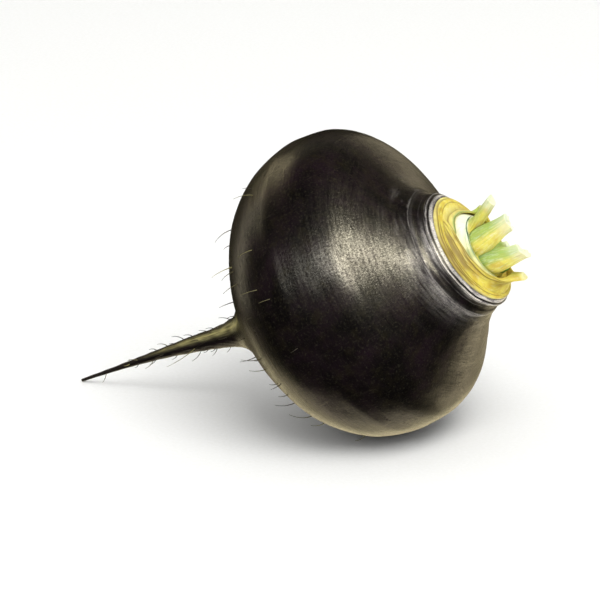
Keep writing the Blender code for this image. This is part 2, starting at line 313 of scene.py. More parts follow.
crownFinish = {
    "flesh": "#decf55", "warm": "#cfb445", "green": "#9dc062", "pale": "#efecb4", "fibre": "#b8953c",
    # Brown of the folds, also laid on as painted shade; dark green of the painted shadow lines along edges
    "foldAndShadeColour": "#806a2b", "edgeShadowColour": "#4d7540",
    "patchSize": 3.2, "fibreSize": (0.42, 7, 0.42), "fibreHeight": 0.12,  # long along the leaf
    "fleckSize": (0.6, 2.4, 0.6),
    "fleshStops": (0.36, 0.58),
    # From two values of a noise to two shares
    "greenShare": (0.62, 1.38, 0, 0.9), "fleckShare": (0.5, 0.72, 0, 0.45), "lineShare": (0.56, 0.74, 0, 0.45),
    "roughness": (0.3, 0.7, 0.42, 0.62),
    "shine": 0.1,
    "glowWeight": 0.12, "glowReach": (1, 0.9, 0.4), "glowDepth": 0.8,  # light that spreads inside the flesh
}
stalkFinish = dict(
    crownFinish, flesh="#e3d968", warm="#d8c257", green="#9abb62", pale="#f1f5dc", fibre="#7d9643",
    foldAndShadeColour="#6a8a3a", edgeShadowColour="#35602e", patchSize=2.6, fibreSize=(0.38, 8, 0.38), fibreHeight=0.1,
    fleckSize=(0.5, 3, 0.5))
youngLeafFinish = dict(stalkFinish, flesh="#7fae45", warm="#5c9238", green="#3f7a30", pale="#c9dd98")


def crownTissue(name, s):
    # Fresh leaf bases and stalks: moist, slightly see-through flesh under a thin smooth skin, with fibres along the
    # leaf. It gives the eye clear yellow and green, brown in the folds, painted ochre and brown shade in creases and
    # at feet, painted dark green shadow lines along edges, and a soft wet shine.
    made, tree = newMaterial(name)
    place = markNode(tree, "leafPlace", "Vector")
    foldAndShade, green, pale, rim = (markNode(tree, key) for key in ("foldAndShade", "green", "pale", "rim"))
    patches = noiseAt(tree, place, s["patchSize"], 3)
    fibres = noiseAt(tree, place, s["fibreSize"], 3)
    flecks = noiseAt(tree, place, s["fleckSize"], 3, 0.7)

    tone = ramp(tree, patches, list(zip(s["fleshStops"], (s["warm"], s["flesh"]))))
    # Green comes in along the fibres, so its edge is combed, not ruled
    greenShare = remap(tree, combine(tree, "ADD", {0: green, 1: fibres}), s["greenShare"])
    tone = layOver(tree, tone, s["green"], greenShare)
    tone = layOver(tree, tone, s["pale"], remap(tree, flecks, s["fleckShare"]))
    tone = layOver(tree, tone, s["pale"], pale)
    tone = layOver(tree, tone, s["fibre"], remap(tree, fibres, s["lineShare"]))
    # Brown fold lines, partly the crease's own colour and partly painted shade
    tone = layOver(tree, tone, s["foldAndShadeColour"], foldAndShade)
    # Painted shadow lines, dark green, along edges
    tone = layOver(tree, tone, s["edgeShadowColour"], rim)
    return finishMaterial(
        made, tree,
        {"IOR": 1.4, "Specular IOR Level": s["shine"], "Subsurface Weight": s["glowWeight"],
         "Subsurface Radius": s["glowReach"], "Subsurface Scale": s["glowDepth"] * mm},
        {"Base Color": tone, "Roughness": remap(tree, fibres, s["roughness"]),
         "Normal": bumps(tree, fibres, s["fibreHeight"])})


def wiryRootlet():
    # Fine side roots, dried: thin wiry fibre. Against the black skin they look pale, against the floor dark.
    made, tree = newMaterial("dried rootlet fibre")
    tone = ramp(tree, markNode(tree, "hairShade"), [(0.1, "#28221a"), (0.95, "#8a8456")])
    return finishMaterial(made, tree, {"Roughness": 0.6, "Specular IOR Level": 0.1}, {"Base Color": tone})


def paleStudioPaper():
    # Seamless background paper: dead matt, near white, with a barely seen tooth
    made, tree = newMaterial("pale studio paper")
    place = addNode(tree, "ShaderNodeTexCoord")
    tooth = noiseAt(tree, (place, "Object"), 1 / 900, 2)  # metres
    tone = ramp(tree, tooth, [(0.3, "#f4f4f1"), (0.7, "#f8f8f6")])
    return finishMaterial(made, tree, {"Roughness": 1, "Specular IOR Level": 0}, {"Base Color": tone})


# Camera first, because some rootlets are placed by the photograph's pixels

view = {
    "azimuth": math.radians(22.13),
    "elevation": math.radians(18.86),
    "distance": 1500,
    "target": (-7.3, 0, 40.57),
    "targetPixel": (363.7, 289.3),  # where the photograph shows the target
    "pixelsPerMm": 3.453,
    "frameSize": 600,  # pixels across the photograph
    "sensor": 36,  # mm
}


def viewAxes(v):
    # The camera's right, up and back, from its azimuth round Z and its elevation
    sa, ca = math.sin(v["azimuth"]), math.cos(v["azimuth"])
    se, ce = math.sin(v["elevation"]), math.cos(v["elevation"])
    return np.array([ca, sa, 0]), np.array([-sa * se, ca * se, ce]), np.array([sa * ce, -ca * ce, se])


def setCamera(v):
    right, up, back = viewAxes(v)
    middle = v["frameSize"] / 2
    aim = (np.array(v["target"]) + right * (middle - v["targetPixel"][0]) / v["pixelsPerMm"]
           - up * (middle - v["targetPixel"][1]) / v["pixelsPerMm"])
    spot = aim + back * v["distance"]
    data = bpy.data.cameras.new("camera")
    data.sensor_width = v["sensor"]
    data.lens = v["sensor"] * v["distance"] * v["pixelsPerMm"] / v["frameSize"]
    data.clip_start, data.clip_end = 0.05, 20
    camera = bpy.data.objects.new("camera", data)
    turn = Matrix((right, up, back)).transposed().to_4x4()
    camera.matrix_world = Matrix.Translation(Vector(spot * mm)) @ turn
    bpy.context.scene.collection.objects.link(camera)
    bpy.context.scene.camera = camera
    return spot


cameraSpot = setCamera(view)


def seenAt(points):
    # Pixels of the photograph for points in mm: right and up offsets over the depth, times the lens
    right, up, back = viewAxes(view)
    away = points - cameraSpot
    reach = view["distance"] * view["pixelsPerMm"] / -(away @ back)
    middle = view["frameSize"] / 2
    return joined(middle + (away @ right) * reach, middle - (away @ up) * reach)


print("camera set")


# The root

root = {
    "radius": 45,  # of the belly
    "tilt": math.radians(60),  # the axis leans this far from upright, crown towards +X
    "crownLift": math.radians(7.5),  # the collar faces this much higher than the axis
    "bellyCentre": (-9.2, 0, 41.77),
    "lobe": 0.01,
    "flatBack": 0.24,  # how much flatter the far side of neck and crown is
    "outline": [  # height along the axis and radius, as shares of the belly radius
        (-2.156, 0.01), (-1.86, 0.017), (-1.535, 0.034), (-1.27, 0.056), (-1.11, 0.069),
        (-0.99, 0.089), (-0.905, 0.123), (-0.832, 0.195), (-0.755, 0.305), (-0.67, 0.45),
        (-0.56, 0.637), (-0.42, 0.818), (-0.24, 0.942), (-0.05, 0.995), (0.06, 0.999),
        (0.23, 0.976), (0.375, 0.892), (0.49, 0.742), (0.59, 0.595), (0.675, 0.495),
        (0.735, 0.45),
    ],
    "neck": [  # height above the outline's end and radius, up to the collar's edge
        (0, 20.25), (0.6, 19.75), (1.2, 19), (2, 18.5), (2.9, 18.4), (3.5, 18.6), (4, 18.35), (4.6, 17.75),
        (5.3, 17),
    ],
    "collarFace": [(5.25, 16.4), (5.2, 14), (5.2, 6), (5.2, 0.5)],
    "tip": [(-0.1, 0.02), (-0.04, 0.3)],  # rounds the taproot's end: height beyond it and radius
    "drift": [(-2.156, -0.184), (-1.5, -0.121), (-1, -0.048), (-0.62, 0.011), (0, 0),
              (0.38, 0.011), (0.858, 0.091)],
    "around": 256,
    "stepsAlong": 10,
    # Distance below the collar's edge, height, half width and paleness of each ridge on the neck
    "ridges": [
        (0.55, 0.05, 0.52, 1.4), (1.32, -0.1, 0.14, -0.9), (1.95, 0.14, 0.2, 1.1), (3.6, -0.22, 0.9, 0),
        (2.55, 0.05, 0.11, 0.45), (4.35, 0.03, 0.12, 0.1), (6.3, 0.22, 0.42, 0.3), (7.05, 0.04, 0.12, 0.24),
    ],
    "whiteRing": 0, "groove": 3, "outerRing": 6,  # places in the list above, from 0
    "wander": (0.16, 0.08),  # how far a ring strays up and down, in long waves and in short ones
    "strength": (0.68, 0.32, 0.1),  # a ring's mean strength, and how much that changes in long and short waves
    "thinWhite": (264, 17, 0.5),  # where the white ring thins: angle, half width in degrees, share lost
    "faintRings": (185, 35, 0.6),  # where all rings are fainter: angle, half width in degrees, share lost
    "outerArc": (233, 346, 12),  # the outer ring is strong from here to there, softness in degrees
    "outerLeast": 0.2,  # and its share elsewhere
    "lowerArc": (268, 340, 16), "lowerBy": 1.5,  # over this arc it lies lower
    # Painted highlights on the neck, laid on as pale patches between the rings: angle, half width, distance below,
    # half width, paleness
    "neckHighlights": [
        (250, 19, 3.3, 1.15, 0.85), (316, 24, 2.6, 0.75, 0.65), (286, 36, 8.6, 1.5, 0.26),
        (284, 36, 11.2, 2.4, 0.08),
    ],
    "highlightFill": 1.3,  # how much the groove is filled in under a painted highlight
    "highlightMix": (0.62, 0.38),  # its mean, and how much fine streaks change it
    "neckStreaks": (7.2, 3.5, 0.24),  # from this far below the edge, faded over this length, paleness
    "flankHighlight": (231, 18, 2.4),  # painted highlight along the taproot's upper flank: angle, half width in degrees, strength
    # Shares of the belly radius between which the painted flank highlight narrows, turns, and is laid on, and the
    # taproot begins
    "flankNarrows": (-1, -0.72), "narrowBy": 0.6,
    "flankTurns": (-1, -0.6), "turnBy": 14,
    "flankEnds": (-0.92, -0.62), "flankStarts": (-1.75, -1.15),
    "taprootEnds": (-1.02, -0.86),
    "wrinkle": 0.05,  # depth of both kinds of wrinkle across the taproot
    "swelling": (0.16, 0.05),  # height of the belly's long and short swellings
}


def rootRings(r):
    # Heights and radii from the taproot's tip to the middle of the collar's face
    outline = curveThrough(r["outline"], r["stepsAlong"]) * r["radius"]
    top = outline[-1, 0]
    neck = curveThrough(r["neck"], r["stepsAlong"])[1:] + (top, 0)
    tip = np.array(r["tip"]) + (outline[0, 0], 0)
    face = np.array(r["collarFace"]) + (top, 0)
    return np.vstack([tip, outline, neck, face]), len(tip) + len(outline) + len(neck) - 1


def rootPoint(r, height, radius, angle):
    # A ring of that radius round the drifting centre line, a little lobed at the belly, leaning towards the collar,
    # and flatter on the neck's far side
    share = height / r["radius"]
    belly = np.exp(-(share / 0.55) ** 2)
    lobed = 1 + r["lobe"] * belly * (np.cos(2 * angle + 0.6) + 0.6 * np.cos(3 * angle - 1.1))
    drift = readCurve(r["drift"], share) * r["radius"]
    lean = r["crownLift"] * smoothStep(0.42, 0.8, share)
    x, y = radius * lobed * np.cos(angle), radius * lobed * np.sin(angle)
    y = np.where(y > 0, y * (1 - r["flatBack"] * smoothStep(0.45, 0.74, share)), y)
    return joined(drift + x * np.cos(lean), y, height + x * np.sin(lean))


def neckMarks(r, place, below, degrees):
    # Relief and paleness of the neck: rings that wander and come and go, painted highlights as pale patches, and fine
    # streaks
    relief = np.zeros(place.shape[:2])
    pale = np.zeros(place.shape[:2])
    thinned = lessNear(degrees, *r["thinWhite"])
    faint = lessNear(degrees, *r["faintRings"])
    # Painted highlights, as pale patches between the rings
    glow = sum(strong * hump(degrees, at, wide) * hump(below, down, high)
               for at, wide, down, high, strong in r["neckHighlights"])
    farStray, nearStray = r["wander"]
    mean, longWave, shortWave = r["strength"]
    for n, (down, high, wide, paleness) in enumerate(r["ridges"]):
        arc = 1
        if n == r["outerRing"]:
            arc = r["outerLeast"] + (1 - r["outerLeast"]) * overArc(degrees, *r["outerArc"])
            down = down + r["lowerBy"] * overArc(degrees, *r["lowerArc"])
        elif n == r["groove"]:
            arc = np.clip(1 - r["highlightFill"] * glow, 0, 1)
        wander = (down + farStray * wide ** 0.5 * swell(place * (1, 1, 0.3), 38, 40 + n)
                  + nearStray * swell(place, 6, 60 + n))
        strength = (mean + longWave * swell(place * (1, 1, 0), 24, 80 + n) + shortWave * swell(place, 5, 120 + n))
        strength = strength * arc * faint
        relief += high * strength * hump(below, wander, wide)
        pale += paleness * strength * hump(below, wander, wide) * (thinned if n == r["whiteRing"] else 1)
    streakStart, streakFade, streakPale = r["neckStreaks"]
    streaks = smoothStep(0.1, 1.1, swell(place * (0.07, 0.07, 1), 1.5, 101)
                         + 0.4 * swell(place * (0.2, 0.2, 1), 0.8, 102))
    fading = (smoothStep(streakStart - 0.5, streakStart, below)
              * np.exp(-np.maximum(below - streakStart, 0) / streakFade))
    pale += streakPale * streaks * fading * smoothStep(-0.7, 0.7, swell(place, 24, 103))
    # The painted highlights, with fine streaks through them
    glowMean, glowStreaks = r["highlightMix"]
    pale += glow * (glowMean + glowStreaks * swell(place * (0.12, 0.12, 1), 1.3, 105))
    return relief, np.clip(pale, 0, 1) * smoothStep(-0.9, 0, below)


def paintFlankHighlight(r, place, share, degrees):
    # A painted highlight along the taproot's upper flank, which narrows and turns where it runs up to the belly
    at, wide, strong = r["flankHighlight"]
    wide = wide * (1 - r["narrowBy"] * smoothStep(*r["flankNarrows"], share))
    at = at + r["turnBy"] * smoothStep(*r["flankTurns"], share)
    along = (1 - smoothStep(*r["flankEnds"], share)) * smoothStep(*r["flankStarts"], share)
    return along * (strong * hump(degrees, at, wide) * (0.65 + 0.35 * swell(place * (0.3, 0.3, 1), 3, 104)))


def rootSkin(r):
    # The turned outline with its relief: rings on the neck, wrinkles across the taproot, soft swellings all over
    rings, edge = rootRings(r)
    height, radius = rings[:, :1], rings[:, 1:]
    share = height / r["radius"]
    angle = turns(r["around"])
    degrees = np.degrees(angle)
    run = np.concatenate([[0], np.cumsum(np.hypot(*np.diff(rings, axis=0).T))])
    below = (run[edge] - run)[:, None]  # distance below the collar's edge
    place = joined(r["radius"] * np.cos(angle), r["radius"] * np.sin(angle), run[:, None])
    relief, pale = neckMarks(r, place, below, degrees)
    onTail = 1 - smoothStep(*r["taprootEnds"], share)
    wrinkle = r["wrinkle"] * (swell(place * (0.1, 0.1, 1), 2.2, 3) + swell(place * (0.2, 0.2, 1), 5, 4))
    longSwell, shortSwell = r["swelling"]
    body = longSwell * swell(place, 26, 5) + shortSwell * swell(place, 8, 6)
    offFace = smoothStep(-0.3, 0.2, below)
    full = radius + offFace * (relief + (1 - onTail) * body) + onTail * wrinkle * np.minimum(radius, 2)
    points = turnAndPlace(rootPoint(r, height, full, angle), r["tilt"], r["bellyCentre"])
    points[..., 2] = np.maximum(points[..., 2], 0)  # the flat spot that it rests on
    return points, {"skinPlace": place, "paleRingsAndHighlights": pale, "tailHighlightShare": paintFlankHighlight(r, place, share, degrees)}


blackSkin = corkyBlackSkin(skinFinish)
skinPoints, skinMarks = rootSkin(root)
gridObject("rootSkin", skinPoints, blackSkin, ["root"], skinMarks)


# Rootlets

rootlet = {
    "count": 44, "seed": 7,
    "thick": 0.16, "thin": 0.05,  # radius at foot and tip
    "shorter": 0.72,  # the CAD's needles are drawn this much shorter, as fine curved hairs
    "lyingBack": [(0.6, 0.62), (0.28, 0.85)],  # share outwards and towards the tip, on the belly, on the taproot
    "sunk": 0.8,
    "bendAlong": 0.3, "bendOut": 0.22,  # where the curve bends, along the straight line and off the skin
    "tipLift": 1.2,
    "sides": 5, "rings": 8,
    "lowest": 1.6,  # none reaches lower than this above the floor
    "darkest": 0.15, "shadeSeed": 11,  # the CAD's ones have a shade from 0 to this
}
# Where the photograph shows a rootlet: x and y of its foot's pixel, of its tip's pixel, shade from dark to yellow
seenRootlets = [
    (253, 194, 236, 201, 0.5), (232, 228, 219, 243, 0.2), (251, 249, 240, 258, 0.5),
    (232, 267, 216, 278, 1), (234, 271, 226, 281, 0.3), (236, 284, 226, 294, 0.3),
    (258, 289, 245, 294, 0.4), (233, 302, 223, 307, 0.1), (231, 319, 221, 321, 0.2),
    (270, 298, 261, 302, 0.35), (257, 357, 243, 359, 0.2), (262, 359, 245, 357, 0.3),
    (267, 370, 253, 368, 0.5), (278, 384, 272, 381, 0.3), (288, 396, 281, 394, 0.3),
    (296, 404, 278, 402, 0.2), (312, 418, 290, 412, 0.5), (325, 426, 312, 424, 0.7),
    (366, 437, 355, 438, 0.8), (211, 332, 201, 333, 0.2), (185, 339, 173, 341, 0.1),
    (169, 346, 159, 349, 0.4), (138, 360, 131, 360, 0.5), (131, 364, 125, 362, 0.9),
    (195, 349, 167, 365, 0.8), (203, 352, 192, 358, 0.3), (218, 350, 212, 353, 0.4),
    (232, 350, 227, 351, 0.6), (157, 363, 146, 367, 0.8), (106, 377, 101, 382, 0.7),
]


def skinNormals(points):
    # Outward normals of the skin's grid, from the cross product of its steps along and round
    along = np.gradient(points, axis=0)
    round_ = np.roll(points, -1, axis=1) - np.roll(points, 1, axis=1)
    return unit(np.cross(round_, along))


def rootletFeet(r, s):
    # The same places as in the CAD part: golden-angle steps down the belly and the taproot
    chance = random.Random(s["seed"])
    rings, edge = rootRings(r)
    outline = rings[:edge][rings[:edge, 0] < 0.5 * r["radius"]]
    found = []
    for n in range(s["count"]):
        share = (n + 0.5) / s["count"]
        height = r["radius"] * (0.12 - 1.87 * share ** 0.85) + chance.uniform(-1.2, 1.2)
        angle = 2.399963 * n + chance.uniform(-0.35, 0.35)
        length = chance.uniform(4.2, 8) * (1 - 0.45 * share)
        found.append((height, angle, length))
    height, angle, length = np.array(found).T
    foot, above, beside = (
        turnAndPlace(rootPoint(r, h, np.interp(h, outline[:, 0], outline[:, 1]), a), r["tilt"], r["bellyCentre"])
        for h, a in ((height, angle), (height + 0.4, angle), (height, angle + 0.02)))
    along = unit(foot - above)
    out = unit(np.cross(beside - foot, above - foot))
    onTaproot = smoothStep(-0.75, -1.05, height / r["radius"])[:, None]
    onBelly, onThin = np.array(s["lyingBack"])
    lie = onBelly + (onThin - onBelly) * onTaproot
    tip = foot + s["shorter"] * length[:, None] * (lie[:, :1] * out + lie[:, 1:] * along)
    keep = np.minimum(foot[:, 2], tip[:, 2]) > s["lowest"]
    return foot[keep], out[keep], tip[keep]


def rootletsFromPixels(s, spots):
    # The skin point that the photograph shows nearest to each foot's pixel, on the side that faces the camera or
    # at the outline, and a tip off it in the picture's plane, drawn a little outwards
    right, up, back = viewAxes(view)
    feetPx, tipsPx = np.array(spots)[:, :2], np.array(spots)[:, 2:4]
    points = skinPoints.reshape(-1, 3)
    normals = skinNormals(skinPoints).reshape(-1, 3)
    shown = seenAt(points)
    away = np.clip(-(normals @ back) - 0.05, 0, None) * 400  # points on the far side count as far away
    best = (((shown[None] - feetPx[:, None]) ** 2).sum(-1) + away[None]).argmin(axis=1)
    foot, out = points[best], normals[best]
    step = (tipsPx - feetPx) / view["pixelsPerMm"]
    tip = foot + step[:, :1] * right - step[:, 1:] * up + s["tipLift"] * out
    return foot, out, tip


def rootletGrid(s, foot, out, tip):
    # Each rootlet is a thin round tube on a quadratic curve from below the skin, out along its normal, to the tip
    t = np.linspace(0, 1, s["rings"])[None, :, None]
    start = foot - out * s["sunk"]
    straight = tip - foot
    bend = foot + s["bendAlong"] * straight + out * s["bendOut"] * np.linalg.norm(straight, axis=1, keepdims=True)
    a, b, c = start[:, None], bend[:, None], tip[:, None]
    path = (1 - t) ** 2 * a + 2 * t * (1 - t) * b + t ** 2 * c
    ahead = unit((1 - t) * (b - a) + t * (c - b))
    side = unit(np.cross(ahead, (0.31, 0.42, 0.85)))  # any direction that no rootlet runs along
    other = np.cross(ahead, side)
    turn = turns(s["sides"])[..., None]
    radius = (s["thick"] + (s["thin"] - s["thick"]) * t)[..., None]
    return path[:, :, None] + radius * (np.cos(turn) * side[:, :, None] + np.sin(turn) * other[:, :, None])


def makeRootlets(r, s):
    # All rootlets in one mesh, each closed at both ends by one face
    feet = [np.vstack(pair) for pair in zip(rootletFeet(r, s), rootletsFromPixels(s, seenRootlets))]
    grid = rootletGrid(s, *feet)
    count, rings, sides = grid.shape[:3]
    here = np.arange(count * rings * sides).reshape(count, rings, sides)
    ends = np.vstack([here[:, 0, ::-1], here[:, -1]])
    dark = np.random.default_rng(s["shadeSeed"]).uniform(0, s["darkest"], count - len(seenRootlets))
    shades = np.concatenate([dark, [spot[-1] for spot in seenRootlets]])
    placePiece("rootlets", grid, quadsRound(here).tolist() + ends.tolist(), wiryRootlet(),
               marks={"hairShade": np.repeat(shades, rings * sides)})


makeRootlets(root, rootlet)


# The crown, in the collar's own frame: X down the slope, Y away, Z out of the collar

crown = {
    "lean": 0.5, "leanTop": 5,  # sideways shift per height, up to that height
    "seat": [(16.75, -0.25), (16.85, 0.25), (16.6, 0.75), (16, 1.1), (15.2, 1.3)],
    "rise": [(13, 1.4), (10.9, 1.5), (10.5, 1.9), (9.95, 2.6), (9.5, 3.2), (8.6, 3.6), (6, 3.75), (4, 3.85),
             (2.2, 4.3), (1, 4.55), (0.25, 4.6)],
    "around": 160, "steps": 6,
    "foldRadii": (16.5, 15.9, 15.3), "foldWide": 0.16, "foldDepth": 0.16, "foldShade": 0.75,
    "rough": 0.1,
    "ochreShade": 0.95,  # painted ochre shade round the foot, as a share of fold colour
    "ochreAt": (262, 36), "ochreRadius": (16.3, 1.7),  # the angle and radius where it is strongest, half widths
    "green": 0.35, "pale": 0.35,
}


def collarPlace(r):
    # Where the axis meets the collar's face, and the collar's turn about Y
    top = r["outline"][-1][0] * r["radius"] + r["neck"][-1][0]
    spot = turnAndPlace(rootPoint(r, np.array(top), np.array(0), np.array(0)), r["tilt"], r["bellyCentre"])
    return spot, r["tilt"] - r["crownLift"]


collarSpot, collarTurn = collarPlace(root)


def crownPoint(radius, angle, height):
    # A point of the crown, whose middle shifts down the slope as it rises and whose far side is flatter
    middle = crown["lean"] * np.minimum(height, crown["leanTop"])
    y = radius * np.sin(angle)
    y = np.where(y > 0, y * (1 - root["flatBack"]), y)
    return joined(middle + radius * np.cos(angle), y, height)


def toWorld(points):
    return turnAndPlace(points, collarTurn, collarSpot)


def crownStem(c):
    # The stem turned from its outline, with folds that run round its foot
    outline = curveThrough(c["seat"] + c["rise"], c["steps"])
    radius, height = outline[:, :1], outline[:, 1:]
    angle = turns(c["around"])
    spots = crownPoint(radius, angle, height)
    ring = spots * (1, 1, 0.5)
    folds = np.zeros(spots.shape[:2])
    for n, middle in enumerate(c["foldRadii"]):
        strength = smoothStep(0, 0.5, swell(ring, 16, 20 + n) + 0.35)
        folds += strength * hump(radius + 0.18 * swell(ring, 9, 30 + n), middle, c["foldWide"])
    rough = c["rough"] * swell(spots, 3.5, 8) * smoothStep(17, 15, radius)
    points = crownPoint(radius - c["foldDepth"] * folds + rough, angle, height)
    # Painted ochre shade round the stem's foot
    ochreShade = c["ochreShade"] * hump(np.degrees(angle), *c["ochreAt"]) * hump(radius, *c["ochreRadius"])
    ochreShade = ochreShade * (0.72 + 0.35 * swell(ring, 5, 33))
    marks = {
        "leafPlace": joined(radius, 15 * angle, 0),
        "foldAndShade": np.clip(c["foldShade"] * folds + ochreShade, 0, 1),
        "green": np.broadcast_to(c["green"] * smoothStep(11, 8, radius), folds.shape),
        "pale": c["pale"] * smoothStep(16.3, 16.8, radius) * (1 - np.clip(ochreShade, 0, 1)),
        "rim": 0 * folds,
    }
    return toWorld(points), marks


crownFlesh = crownTissue("moist yellow crown flesh", crownFinish)
petiole = crownTissue("fresh green petiole", stalkFinish)
youngLeaf = crownTissue("young dark leaf bud", youngLeafFinish)

stemPoints, stemMarks = crownStem(crown)
gridObject("crownStem", stemPoints, crownFlesh, ["crown_stem"], stemMarks)


# What all leaves that clasp the crown share
leafForm = {
    "edge": 0.45,  # thickness of a foot's free edge
    "across": 96, "steps": 8,
    "sunkRow": (1, 0.55),  # height of the first row, and how much wider than the next it is
    "foldDepth": 0.22,
    "foldAt": (262, 55),  # folds are strongest round this azimuth
    "foldLeast": 0.5, "foldMore": 0.8,  # their share far from it, and how much more at it
    "stain": 0.32,  # share of fold colour in loose patches
    "ribs": 5, "ribDepth": 0.09,
    "softEdge": 0.3, "bulge": 0.12,  # how far the foot draws in at its edge, and its soft swellings
    "paleAt": (202, 42, 0.25),  # azimuth of the pale band, half width, share elsewhere
    "paleFade": (3.2, 0.9),  # distance from the edge where it ends, and where it is full
    "edgeShadowAt": (205, 60, 0.35),  # azimuth of the painted shadow line along the edge, half width, share elsewhere
    "edgeWide": 0.42, "lineWide": 0.2, "stepWide": 0.12,
    "paleTop": 0.6,  # paleness at the cut
    "slip": (64, 82, 0.65),  # a foot's end slips under its neighbour: from, to, how deep
}
# Each leaf: azimuth of its stalk, and rows up it: height, radius of the outer face, how many degrees the foot
# reaches clockwise and the other way, and thickness. Folds: distance below the rim, half width, strength. Rim: green,
# pale and painted shadow line. Where the stalk starts, and how far it steps in there.
claspingLeaves = {
    "leaf_stalk_1": {
        "azimuth": 0, "slipsUnder": False,
        "folds": [(-0.3, 0.1, 0.6), (-0.72, 0.11, 1), (-1.12, 0.1, 0.7), (-1.55, 0.12, 0.7), (-1.95, 0.55, 0.6)],
        "rim": (0.1, 0.1, 0.15), "rimShadowLine": 0.55, "greenStalk": 0.35,
        "stalkFrom": (4.4, 6.4), "stepIn": 0,
        "rows": [
            (1.55, 14.75, 150, 48, 1.5), (2.1, 14.1, 146, 49, 1.4), (2.6, 13.55, 140, 49, 1.2),
            (3, 13.1, 130, 47, 1), (3.5, 12.6, 112, 42, 0.95), (3.9, 12.3, 84, 36, 1),
            (4.4, 12.05, 58, 30, 1.3), (5, 11.9, 36, 23, 1.9), (6, 12.1, 19, 15, 2.4),
            (7.2, 12.7, 11, 10, 2.4), (8.6, 13.4, 7.6, 7.6, 2.3),
        ],
    },
    "leaf_stalk_2": {
        "azimuth": 185, "slipsUnder": False,
        "folds": [(-0.7, 0.1, 0.3), (-1.2, 0.12, 0.35)],
        "rim": (0.35, 1.25, 1.2), "rimShadowLine": 0, "greenStalk": 0.8,
        "stalkFrom": (4.75, 5.1), "stepIn": 0.3,
        "rows": [
            (1.65, 12.55, 150, 149, 1.2), (2.3, 12, 150, 150, 1.15), (3, 11.45, 149, 150, 1.05),
            (3.6, 10.9, 146, 147, 0.95), (4, 10.5, 138, 138, 0.85), (4.25, 10.3, 112, 112, 0.85),
            (4.45, 10.2, 76, 74, 0.95), (4.8, 10.1, 46, 46, 1.3), (5.4, 10.05, 30, 33, 2.2),
            (6.4, 10.15, 24, 26, 3.1), (7.8, 10.6, 20, 21, 3.5), (9.8, 11.3, 16, 16, 3.5),
            (12, 12, 13, 13, 3.3), (14, 12.6, 11.2, 11.2, 3),
        ],
    },
    "leaf_stalk_3": {
        "azimuth": 145, "slipsUnder": True,
        "folds": [(-0.4, 0.11, 0.5), (-0.85, 0.12, 0.7), (-1.35, 0.6, 0.25)],
        "rim": (0.45, 0.25, 0.85), "rimShadowLine": 0, "greenStalk": 0.7,
        "stalkFrom": (4.4, 6), "stepIn": 0,
        "rows": [
            (1.55, 14.75, 92, 92, 1.5), (2.1, 14.1, 92, 91, 1.4), (2.6, 13.55, 91, 89, 1.25),
            (2.95, 13.15, 89, 83, 1.1), (3.15, 12.95, 87, 60, 1), (3.5, 12.65, 83, 46, 0.95),
            (3.9, 12.35, 76, 36, 0.95), (4.5, 12, 60, 25, 1),
            (5, 11.9, 42, 19, 1.1), (5.6, 11.95, 26, 15, 1.3), (6.4, 12.15, 15, 12, 1.6),
            (7.6, 12.5, 11, 11, 1.8),
        ],
    },
}
cutEnd = [(0.985, 0.1), (0.93, 0.16), (0.8, 0.13), (0.5, 0.06), (0.15, 0.03)]  # share of the width, height
cutPale = (0.5, 0.8, 0.75, 0.7, 0.7)  # and how pale


def rimHeight(reach, height, turned):
    # Height of the foot's upper edge where it has turned that far from the stalk
    widest = int(np.argmax(reach))
    return np.interp(turned, reach[widest:][::-1], height[widest:][::-1])


def closeCut(loop, marks):
    # Rows that close a cut end: the last row drawn in towards its own middle, a little dished
    last = loop[-1]
    middle = last.mean(axis=0)
    ahead = unit(middle - loop[-2].mean(axis=0))
    rows = np.stack([middle + (last - middle) * k + ahead * high for k, high in cutEnd])
    for key, values in marks.items():
        ends = np.repeat(values[-1:], len(cutEnd), axis=0)
        if key == "pale":
            ends = ends * 0 + np.array(cutPale)[:, None]
        marks[key] = np.vstack([values, ends])
    return np.vstack([loop, rows]), marks


